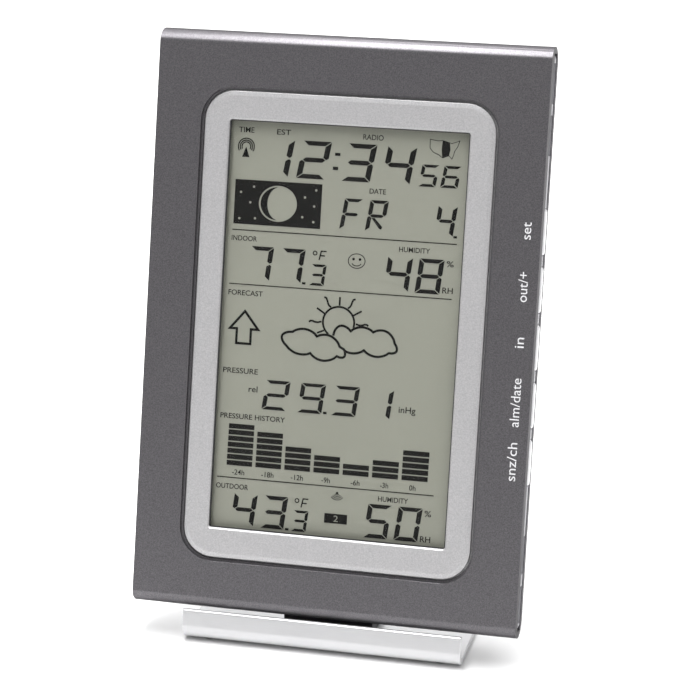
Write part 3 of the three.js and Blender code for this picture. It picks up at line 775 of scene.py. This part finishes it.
def words(text, x0, x1, base, capital, thick=INK_THICK, upward=False, bold=0.008):
    """Lettering fitted between two places along its line, with a given height of its capitals."""
    def flat(body):
        curve = bpy.data.curves.new("words", "FONT")
        curve.body = body
        curve.extrude = 0.5
        curve.offset = bold
        curve.resolution_u = 4
        work = bpy.data.objects.new("words", curve)
        SCENE.collection.objects.link(work)
        mesh = bpy.data.meshes.new_from_object(work.evaluated_get(bpy.context.evaluated_depsgraph_get()))
        bpy.data.objects.remove(work)
        bpy.data.curves.remove(curve)
        return mesh

    capital_mesh = flat("H")
    letter = max(v.co.y for v in capital_mesh.vertices)
    bpy.data.meshes.remove(capital_mesh)
    mesh = flat(text)
    low = min(v.co.x for v in mesh.vertices)
    wide = max(v.co.x for v in mesh.vertices) - low
    work = bmesh.new()
    work.from_mesh(mesh)
    bmesh.ops.remove_doubles(work, verts=work.verts, dist=1e-5)
    for v in work.verts:
        along = x0 + (v.co.x - low) * (x1 - x0) / wide
        up = v.co.y * capital / letter
        deep = -v.co.z * thick
        v.co = (base - up, deep, along) if upward else (along, deep, base + up)
    work.to_mesh(mesh)
    work.free()
    return mesh


def on_glass(mesh):
    mesh.transform(Matrix.Translation((0, GLASS_LOW.y - INK_THICK / 2 + INK_SUNK, 0)))
    return mesh


def ink_piece(name, parts, finish=INK):
    piece(name, gathered(parts), finish, "display_unit")


def display_words():
    labels = [
        ("TIME", -38.1, -32.8, 160.9, 1.75),
        ("EST", -25.0, -20.2, 160.8, 1.75),
        ("RADIO", 4.4, 11.3, 160.8, 1.75),
        ("DATE", 7.6, 13.1, 143.2, 1.65),
        ("INDOOR", -38.7, -29.9, 124.8, 1.65),
        ("HUMIDITY", 18.7, 29.1, 124.7, 1.65),
        ("%", 34.9, 37.3, 120.8, 1.9),
        ("RH", 34.0, 37.5, 112.0, 1.95),
        ("FORECAST", -38.8, -26.9, 106.5, 1.7),
        ("PRESSURE", -39.2, -27.1, 80.2, 1.75),
        ("rel", -30.0, -26.9, 74.2, 2.0),
        ("inHg", 21.8, 27.5, 71.4, 2.05),
        ("PRESSURE HISTORY", -39.3, -16.8, 64.8, 1.7),
        ("OUTDOOR", -39.5, -28.3, 40.9, 1.7),
        ("HUMIDITY", 16.6, 26.8, 41.2, 1.7),
        ("%", 32.6, 34.9, 37.5, 2.0),
        ("RH", 31.6, 35.1, 28.9, 1.95),
    ]
    hours = [("-24h", -34.2, -29.9), ("-18h", -24.0, -19.7), ("-12h", -13.7, -9.5), ("-9h", -3.1, -0.2),
             ("-6h", 7.0, 10.0), ("-3h", 17.0, 19.8), ("0h", 26.9, 29.1)]
    hours_base, hours_high = 45.8, 1.75
    labels += [(text, x0, x1, hours_base, hours_high) for text, x0, x1 in hours]
    parts = [on_glass(words(*label)) for label in labels]
    ink_piece("display_words", parts, FAINT_INK)


def divider_lines():
    lines = [(-38.6, 37.9, 128.35), (-38.7, 37.3, 110.2), (-39.4, 35.3, 44.7)]
    half = DIVIDER_WIDE / 2
    parts = []
    for x0, x1, z in lines:
        parts.append(ink_solid([(x0, z - half), (x1, z - half), (x1, z + half), (x0, z + half)]))
    ink_piece("divider_lines", parts, FAINT_INK)


def degree_mark(x, z):
    """A degree ring and a slanted F."""
    ring = ink_band(disc(x, z, 0.65, 20), 0.32, loop=True)
    stem = [(x + 1.5, z - 2.2), (x + 2.1, z + 0.75), (x + 3.9, z + 0.75)]
    arm = [(x + 1.85, z - 0.75), (x + 3.4, z - 0.75)]
    return [ring, ink_band(stem, 0.42), ink_band(arm, 0.42)]


def display_figures():
    time = figures("1234", [-30.3, -17.7, -2.3, 11.1], 146.8, 9.7, 12.5, 1.7, 1.35, 0.16)
    time += figures("56", [23.7, 31.1], 146.6, 5.8, 7.25, 1.05, 0.8, 0.16)
    time += ink_dots((-4.8, 154.9, -3.0, 155.9), (-5.3, 150.2, -3.5, 151.3))
    ink_piece("time_figures", time)
    date = figures("FR", [-2.0, 6.7], 130.7, 6.2, 10.4, 1.25, 0.95, 0.14)
    date += figures("4", [29.9], 130.6, 6.4, 10.2, 1.3, 0.95, 0.12)
    date += ink_dots((36.6, 130.3, 37.8, 131.05))
    ink_piece("date_figures", date)
    indoor = figures("77", [-32.95, -22.1], 111.8, 7.9, 11.4, 1.5, 1.2, 0.11)
    indoor += figures("3", [-11.3], 111.5, 5.1, 7.1, 0.95, 0.75, 0.1)
    indoor += figures("48", [14.1, 24.7], 111.5, 8.35, 11.5, 1.5, 1.2, 0.1)
    indoor += ink_dots((-13.6, 111.6, -12.4, 112.35)) + degree_mark(-9.7, 122.3)
    ink_piece("indoor_figures", indoor)
    pressure = figures("2931", [-25.2, -12.95, -1.3, 10.3], 68.7, 8.45, 10.0, 1.35, 1.0, 0.12)
    pressure += ink_dots((-3.9, 68.8, -2.65, 69.6))
    ink_piece("pressure_figures", pressure)
    outdoor = figures("43", [-34.0, -23.4], 28.6, 8.05, 11.1, 1.5, 1.2, 0.11)
    outdoor += figures("3", [-12.7], 28.5, 5.1, 7.1, 0.95, 0.75, 0.1)
    outdoor += figures("50", [12.2, 22.6], 28.7, 8.1, 11.4, 1.5, 1.2, 0.11)
    outdoor += ink_dots((-14.7, 28.5, -13.5, 29.25)) + degree_mark(-11.1, 38.9)
    ink_piece("outdoor_figures", outdoor)


def pressure_bars():
    """Seven stacks of short bars. Each row is set a little to the right, and each stack a little up."""
    heights = [7, 6, 4, 3, 2, 3, 5]
    first_left, first_low = -36.25, 48.9
    across, up = 10.06, 2.08
    wide, high = 8.9, 1.66
    row_shift, stack_shift = 0.02, 0.03
    parts = []
    for i, rows in enumerate(heights):
        for row in range(rows):
            left = first_left + i * across + row * row_shift
            low = first_low + row * up + i * stack_shift
            parts.append(ink_solid(rounded(left, low, left + wide, low + high, 0.1, 2)))
    ink_piece("pressure_bars", parts)


def moon_picture():
    """A dark sky with a bright disc, the shadow's crescent on it, and stars."""
    x, z = -23.4, 137.8
    sky = ink_solid(rounded(-38.4, 130.35, -8.5, 145.2, 0.15, 2))
    stars = [(-31.9, 143.0), (-36.3, 141.0), (-32.9, 137.7), (-36.4, 132.2), (-31.0, 132.5),
             (-10.5, 143.1), (-14.2, 140.5), (-10.9, 137.7), (-14.8, 133.9), (-10.9, 132.5)]
    holes = [facing(disc(x, z, 6.55, 64, 6.0), 0, 10)]
    holes += [facing(disc(a, b, 0.42, 12), 0, 10) for a, b in stars]
    dark = cut(sky, *holes)
    outer = arc(x, z, 5.95, 96, 264, 28, 5.5)
    inner = arc(x + 0.4, z, 4.0, 262, 98, 28, 5.5)
    ink_piece("moon_picture", [dark, ink_solid(outer + inner)])


def bulged(points, loop=False):
    """A line through points with a rounded bulge to its left between each two, given as x, z, bulge."""
    path = []
    stretch = list(zip(points, points[1:] + (points[:1] if loop else [])))
    for (x0, z0, bulge), (x1, z1, _) in stretch:
        chord = Vector((x1 - x0, z1 - z0))
        side = Vector((-chord.y, chord.x))
        steps = 10
        for i in range(steps):
            t = i / steps
            lift = math.sin(math.pi * t) ** 0.72 * bulge
            p = Vector((x0, z0)) + chord * t + side * lift
            path.append((p.x, p.y))
    if not loop:
        path.append(points[-1][:2])
    return path


def forecast_picture():
    """A sun with its rays behind two clouds, and the arrow that shows a rising trend."""
    sun = ink_band(arc(-0.35, 99.8, 5.35, -16, 232, 44, 5.2), 0.66)
    straight = [[(-0.33, 108.3), (-0.33, 105.4)], [(-8.0, 104.1), (-5.2, 102.4)],
                [(7.3, 104.1), (4.5, 102.4)], [(-7.5, 95.8), (-5.2, 96.8)]]
    crooked = [(-5.7, 107.9), (-5.0, 107.7), (-4.6, 106.9), (-4.3, 105.9), (-3.9, 105.2), (-3.2, 104.7)]
    level = [(-10.5, 99.3), (-10.0, 99.7), (-9.3, 99.75), (-8.4, 99.4), (-7.4, 99.35), (-6.2, 99.7)]
    rays = straight + [crooked, level] + [[(-0.66 - x, z) for x, z in line] for line in (crooked, level)]
    left_cloud = [(-17.6, 90.6, 0.55), (-15.9, 95.5, 0.2), (-7.45, 94.6, 0.24), (0.5, 91.7, 0.0),
                  (2.0, 91.0, 0.55), (-0.3, 88.5, 0.22), (-9.45, 88.85, 0.17)]
    right_cloud = [(-1.9, 95.3, 0.42), (4.0, 97.2, 0.2), (11.6, 97.4, 0.28), (19.1, 94.2, 0.5),
                   (17.3, 90.9, 0.2), (8.8, 91.2, 0.15), (2.2, 90.6, 0.0)]
    clouds = [ink_band(bulged(left_cloud, loop=True), 0.8, loop=True)]
    clouds += [ink_band(bulged(right_cloud), 0.8)]
    arrow = [(-32.65, 101.2), (-37.6, 95.25), (-35.2, 95.25), (-35.2, 90.3), (-30.3, 90.3),
             (-30.3, 95.25), (-27.8, 95.25)]
    parts = [sun, *[ink_band(ray, 0.6) for ray in rays], *clouds, ink_band(arrow, 0.82, loop=True)]
    ink_piece("forecast_picture", parts)


def small_pictures():
    """The time-signal mast, the zone map, the comfort face and the sensor's signal with its channel."""
    mast = [ink_solid([(-36.6, 152.7), (-34.1, 152.7), (-35.35, 156.2)])]
    mast += [ink_band(arc(-35.3, 156.2, r, -32, 212, 26), 0.36) for r in (1.5, 2.1, 2.75)]
    coast = [(26.9, 162.2), (29.5, 161.8), (31.2, 162.0), (34.2, 161.2), (35.4, 161.6), (36.8, 162.2),
             (36.2, 160.2), (35.3, 158.8), (34.9, 157.2), (34.5, 156.1), (33.4, 157.2), (31.4, 156.3),
             (30.0, 157.3), (28.2, 158.0), (27.0, 159.3)]
    zone = [(31.1, 161.9), (33.5, 161.4), (33.85, 159.0), (33.4, 157.0), (31.3, 156.3), (30.9, 159.0)]
    world = [ink_band(coast, 0.2, loop=True), ink_solid(zone)]
    face = [ink_band(disc(4.6, 120.6, 2.85, 40, 2.4), 0.26, loop=True)]
    face += [ink_solid(disc(x, 121.2, 0.45, 16)) for x in (3.5, 5.7)]
    face += [ink_band(arc(4.6, 120.3, 1.7, 205, 335, 16, 1.3), 0.28)]
    signal = [ink_solid(disc(2.55, 42.7, 0.42, 16))]
    signal += [ink_band(arc(2.55, 42.9, r, 218, 322, 12), 0.22) for r in (0.85, 1.4, 1.95, 2.55)]
    # The channel's figure is an opening in its block, so it is cut with a thicker one.
    figure = on_glass(words("2", 1.75, 3.35, 32.95, 2.1))
    figure.transform(Matrix.Scale(4, 4, (0, 1, 0)))
    figure.transform(Matrix.Translation((0, -3 * GLASS_LOW.y, 0)))
    channel = cut(ink_solid(rounded(-1.4, 32.35, 6.45, 35.6, 0.1, 2)), figure)
    ink_piece("small_pictures", mast + world + face + signal + [channel])


# ---- side keys ----

def key_nodes():
    return [n for n in frame["nodes"] if n.startswith("button_")]


def side_keys():
    """Five rounded bars, each crowned at its outer end."""
    for node in key_nodes():
        low, high = span(node)
        front, back = low.y + KEY_INSET_FRONT, high.y - KEY_INSET_BACK
        bottom, top = low.z + KEY_INSET_ENDS, high.z - KEY_INSET_ENDS
        sections = [(low.x + KEY_ROOT, 0.0)]
        for turn in range(0, 91, 15):
            out, inset = math.sin(math.radians(turn)), 1 - math.cos(math.radians(turn))
            sections.append((high.x - KEY_CROWN + KEY_CROWN * out, KEY_CROWN_INSET * inset))
        loops = []
        for x, inset in sections:
            # Just short of a full half circle, so that no two points meet.
            r = (back - front) / 2 - inset - 0.001
            outline = rounded(front + inset, bottom + inset, back - inset, top - inset, r, 10)
            loops.append([(x, y, z) for y, z in outline])
        cap = lofted(loops)
        flange = facing(rounded(low.x, low.z, low.x + KEY_FLANGE, high.z, 0.3, 3), low.y, high.y)
        mesh = joined(cap, flange)
        body = frame["nodes"][node]["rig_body"]
        piece(node.replace("button", "key"), mesh, KEY_SILVER, body, [node], sharp=50)


def key_labels():
    """White words that read up the fascia beside the keys."""
    labels = [
        ("set", 131.7, 137.3),
        ("out/+", 111.3, 121.1),
        ("in", 96.3, 99.7),
        ("alm/date", 70.3, 86.3),
        ("snz/ch", 52.5, 65.1),
    ]
    print_style = {"thick": LABEL_THICK, "upward": True, "bold": 0}
    parts = [words(text, z0, z1, LABEL_BASE, LABEL_HIGH, **print_style) for text, z0, z1 in labels]
    piece("key_labels", gathered(parts), LABEL_INK, "display_unit")


# ---- frame, back and stand ----

def eased_copy(name, node, finish, edge, place=UNIT):
    """A CAD node's shape with its flat faces joined and its edges rounded."""
    mesh = frame["nodes"][node].data.copy()
    mesh.transform(place.inverted())
    work = bmesh.new()
    work.from_mesh(mesh)
    bmesh.ops.remove_doubles(work, verts=work.verts, dist=1e-3)
    bmesh.ops.dissolve_limit(work, angle_limit=math.radians(0.6), verts=work.verts, edges=work.edges)
    work.to_mesh(mesh)
    work.free()
    body = frame["nodes"][node]["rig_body"]
    mesh = with_modifiers(softened(mesh, edge), ("TRIANGULATE", {"min_vertices": 5}))
    piece(name, mesh, finish, body, [node], place)


def lip_middle(z):
    """Where the middle of the leaning lip is, at a height over the table."""
    return LIP_BEHIND + PLATE_THICK / 2 / math.cos(LEAN) - (UNIT_RAISE - z) * math.tan(LEAN)


def stand_plate():
    """The plate bent up into the front lip, which leans back with the unit and has a rounded edge."""
    low, high = span("stand_plate", STAND)
    lean = math.degrees(LEAN)
    lip = PLATE_THICK / 2
    bend_z = low.z + LIP_BEND
    bend_y = lip_middle(bend_z) + (LIP_BEND - lip) / math.cos(LEAN)
    edge_z = high.z - lip
    profile = [
        *arc(bend_y, bend_z, LIP_BEND, 180 - lean, 270, 20),
        (high.y, low.z),
        (high.y, low.z + PLATE_THICK),
        *arc(bend_y, bend_z, LIP_BEND - PLATE_THICK, 270, 180 - lean, 14),
        *arc(lip_middle(edge_z), edge_z, lip, -lean, 180 - lean, 14),
    ]
    mesh = softened(sideways(profile, low.x, high.x), 0.5, 50)
    piece("stand_plate_bent", mesh, STAND_SATIN, "stand", ["stand_plate"], STAND)


def foot_pads():
    for n in range(1, 5):
        low, high = span(f"foot_pad_{n}", STAND)
        r = (high.x - low.x) / 2
        profile = [(r - 0.25, low.z), (r - 0.06, low.z + 0.08), (r, low.z + 0.25), (r, high.z)]
        mesh = turned(profile, Matrix.Translation(((low.x + high.x) / 2, (low.y + high.y) / 2, 0)))
        piece(f"foot_{n}", mesh, BLACK_RUBBER, "stand", [f"foot_pad_{n}"], STAND)


def case_screws():
    """Screws with a rounded head that has a cross cut into it."""
    for n in range(1, 5):
        node = f"case_screw_{n}"
        low, high = span(node)
        x, z = (low.x + high.x) / 2, (low.z + high.z) / 2
        r = (high.x - low.x) / 2
        neck = high.y - SCREW_HEAD
        shank = SCREW_SHANK / 2
        profile = [
            (shank - 0.5, low.y),
            (shank, low.y + 0.8),
            (shank, neck),
            (r, neck),
            (r, high.y - 0.4),
            (r - 0.12, high.y - 0.16),
            (r - 0.4, high.y),
        ]
        along = Matrix.Translation((x, 0, z)) @ Matrix.Rotation(math.radians(-90), 4, "X")
        cross = []
        for a, b in ((CROSS_LONG / 2, CROSS_WIDE / 2), (CROSS_WIDE / 2, CROSS_LONG / 2)):
            outline = [(x - a, z - b), (x + a, z - b), (x + a, z + b), (x - a, z + b)]
            cross.append(facing(outline, high.y - CROSS_DEEP, high.y + 1))
        mesh = softened(cut(turned(profile, along), *cross), 0.05)
        piece(f"screw_{n}", mesh, STEEL, "display_unit", [node])


def cells():
    """Cells with rounded shoulders and a raised contact at one end."""
    for node in ("battery_lower", "battery_upper"):
        low, high = span(node)
        plus_side = math.copysign(1, low.x + high.x)
        half = (high.x - low.x - CELL_CONTACT_OUT) / 2
        r = (high.z - low.z) / 2
        jacket = [(r - 1.1, -half), (r - 0.45, 0.06 - half), (r - 0.1, 0.3 - half), (r, 0.7 - half),
                  (r, half - 0.9), (r - 0.15, half - 0.35), (r - 0.6, half - 0.08), (r - 1.2, half)]
        out = half + CELL_CONTACT_OUT
        contact = [(CELL_CONTACT, half - 0.5), (CELL_CONTACT, out - 0.3), (CELL_CONTACT - 0.1, out - 0.1),
                   (CELL_CONTACT - 0.35, out)]
        middle = Vector((0, (low.y + high.y) / 2, (low.z + high.z) / 2))
        along = Matrix.Translation(middle) @ Matrix.Rotation(math.radians(90) * plus_side, 4, "Y")
        name = node.replace("battery", "cell")
        piece(name, turned(jacket, along, 48), CELL_BLUE, "display_unit", [node])
        piece(name + "_contact", turned(contact, along), STEEL, "display_unit")


def numbered(name, count):
    return [f"{name}_{n}" for n in range(1, count + 1)]


CARRIED = [
    (BLACK_PLASTIC, ["lcd_holder", "chip_dome", "humidity_sensor", "buzzer", "battery_lead_black"]),
    (BLACK_PLASTIC, numbered("key_switch", 5)),
    (BLACK_RUBBER, ["zebra_strip_left", "zebra_strip_right"]),
    (BOARD_GREEN, ["main_board", "receiver_board", "key_board"]),
    (STEEL, numbered("board_screw", 4) + numbered("saddle_screw", 2)),
    (STEEL, ["crystal_can", "pressure_sensor", "battery_spring_lower", "battery_spring_upper"]),
    (STEEL, ["contact_bridge", "contact_positive", "contact_negative"]),
    (COPPER, ["receiver_antenna", "ferrite_coil"]),
    (FERRITE, ["ferrite_rod"]),
    (RED_WIRE, ["battery_lead_red"]),
    (RIBBON_GREY, ["key_ribbon"]),
]


def carried_nodes():
    """CAD nodes whose shape is right as it is get their real finish."""
    for finish, names in CARRIED:
        for name in names:
            mesh = frame["nodes"][name].data
            mesh.materials.clear()
            mesh.materials.append(finish)


# ---- floor, lights, camera ----

def floor():
    f = Finish("pale_floor", Roughness=0.9, Specular_IOR_Level=0.2)
    slow = f.noise(3, 2.0)
    f.feed("Base Color", f.mix(slow, grey(0.91), grey(0.95)))
    bpy.ops.mesh.primitive_plane_add(size=8, location=(0, 0, -0.0001))
    plane = bpy.context.object
    plane.name = "floor"
    plane.data.materials.append(f.material)


def softbox(name, place, aim, wide, high, power):
    """A rectangular light in metres and watts, turned to face its aim."""
    light = bpy.data.lights.new(name, "AREA")
    light.shape = "RECTANGLE"
    light.size, light.size_y = wide, high
    light.energy = power
    obj = bpy.data.objects.new(name, light)
    obj.location = place
    obj.rotation_euler = (Vector(aim) - Vector(place)).to_track_quat("-Z", "Y").to_euler()
    SCENE.collection.objects.link(obj)


def studio():
    world = bpy.data.worlds.new("studio")
    SCENE.world = world
    world.use_nodes = True
    background = world.node_tree.nodes["Background"]
    background.inputs["Color"].default_value = (1, 1, 1, 1)
    background.inputs["Strength"].default_value = WORLD_LIGHT
    softbox("strip_box", (-0.245, 0.15, 1.45), (-0.245, 0.149, 0), wide=0.27, high=2.1, power=31)
    softbox("back_box", (0, 1.7, 1.35), (0, 0, 0.1), wide=2.4, high=0.7, power=17)
    softbox("wide_box", (0.3, -0.2, 2.0), (0.1, 0, 0), wide=3.2, high=2.6, power=45)
    SCENE.view_settings.view_transform = "Standard"


def camera():
    """A long lens, to the right of the display and above it."""
    azimuth, elevation = math.radians(CAMERA_AZIMUTH), math.radians(CAMERA_ELEVATION)
    aim = UNIT @ Vector((0, 0, HEIGHT / 2)) + Vector(CAMERA_AIM)
    back = Vector((
        math.sin(azimuth) * math.cos(elevation),
        -math.cos(azimuth) * math.cos(elevation),
        math.sin(elevation),
    ))
    data = bpy.data.cameras.new("camera")
    data.sensor_width = 36
    data.lens = CAMERA_LENS
    obj = bpy.data.objects.new("camera", data)
    obj.location = aim + back * CAMERA_DISTANCE
    obj.rotation_euler = back.to_track_quat("Z", "Y").to_euler()
    SCENE.collection.objects.link(obj)
    SCENE.camera = obj


camera()
studio()
floor()
front_fascia()
bezel_ring()
display_lens()
window_shade_band()
lcd_glass()
display_words()
divider_lines()
display_figures()
pressure_bars()
moon_picture()
forecast_picture()
small_pictures()
side_keys()
key_labels()
eased_copy("middle_frame", "mid_frame", FRAME_SILVER, 0.15)
eased_copy("back_cover", "rear_cover", REAR_GREY, 0.25)
eased_copy("cell_door", "battery_cover", REAR_GREY, 0.25)
eased_copy("saddle", "stand_saddle", SADDLE_GREY, 0.5, STAND)
stand_plate()
foot_pads()
case_screws()
cells()
carried_nodes()
